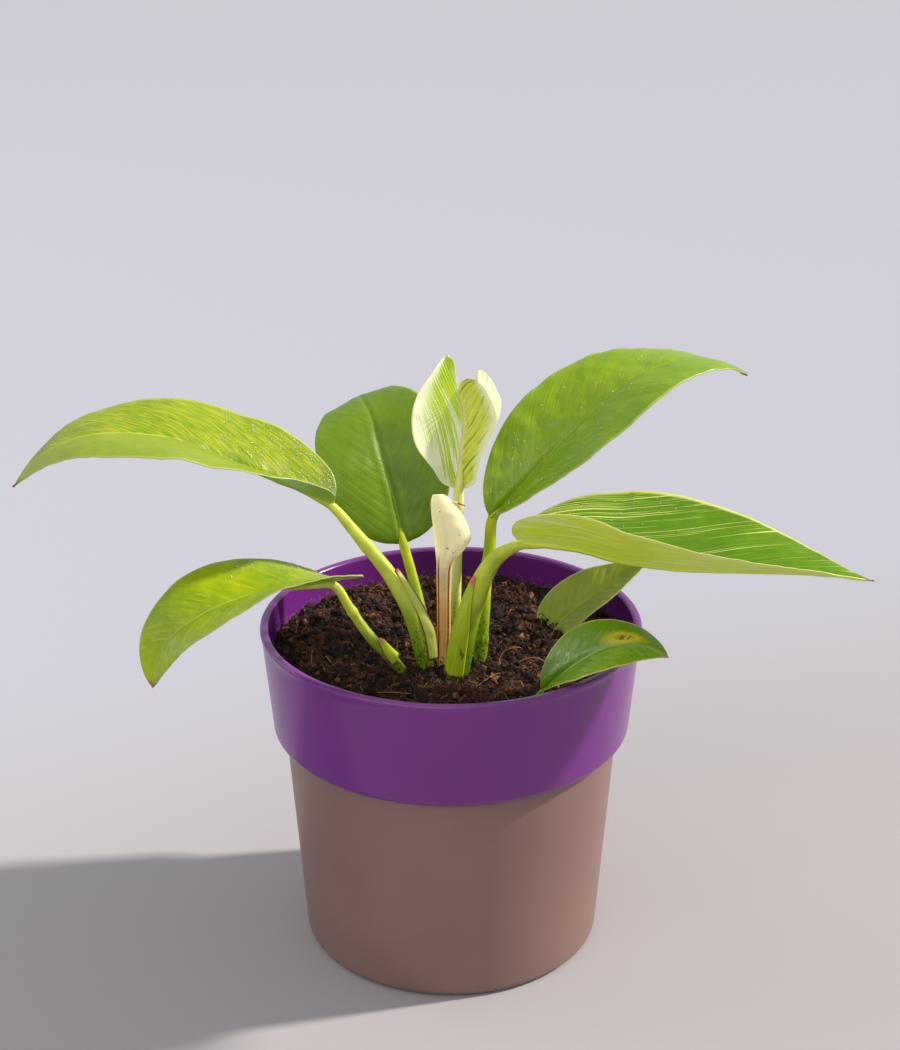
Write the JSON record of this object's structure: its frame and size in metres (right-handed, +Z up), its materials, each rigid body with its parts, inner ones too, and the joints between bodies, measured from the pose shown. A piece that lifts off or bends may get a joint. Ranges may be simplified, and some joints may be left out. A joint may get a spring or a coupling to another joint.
{
  "type": "potted philodendron",
  "caption": "Young leafy houseplant with arching blades on slim stalks, standing in mix inside a round tapered pot with a wide collar.",
  "frame": {"origin": "centre of the pot's flat base, on the surface it stands on", "axes": "+Z up along the pot's axis; +X towards the long striped leaf, -X towards the long upper left leaf; -Y towards the viewer"},
  "size_m": [0.2333, 0.1155, 0.1746],
  "materials": {
    "outer_pot": "taupe, satin",
    "inner_pot": "purple, semi-gloss",
    "potting_mix": "dark brown fibrous mix",
    "leaf": "waxy mid green",
    "new_leaf": "waxy lime with cream margins",
    "olive_leaf": "satin olive green",
    "stalk": "smooth yellow-green",
    "cream_sheath": "soft cream, semi-matte"
  },
  "bodies": {
    "root": {"outer_pot": "outer_pot", "inner_pot": "inner_pot", "potting_mix": "potting_mix", "upper_left_blade": "leaf", "lower_left_blade": "leaf", "back_left_blade": "leaf", "new_leaf_blade": "new_leaf", "upper_right_blade": "leaf", "striped_blade": "leaf", "back_right_blade": "olive_leaf", "front_right_blade": "leaf", "upper_left_stalk": "stalk", "lower_left_stalk": "stalk", "back_left_stalk": "stalk", "new_leaf_stalk": "stalk", "upper_right_stalk": "stalk", "striped_stalk": "stalk", "front_right_stalk": "stalk", "upper_left_sheath": "stalk", "lower_left_sheath": "stalk", "striped_sheath": "stalk", "cream_sheath": "cream_sheath"}
  },
  "joints": []
}
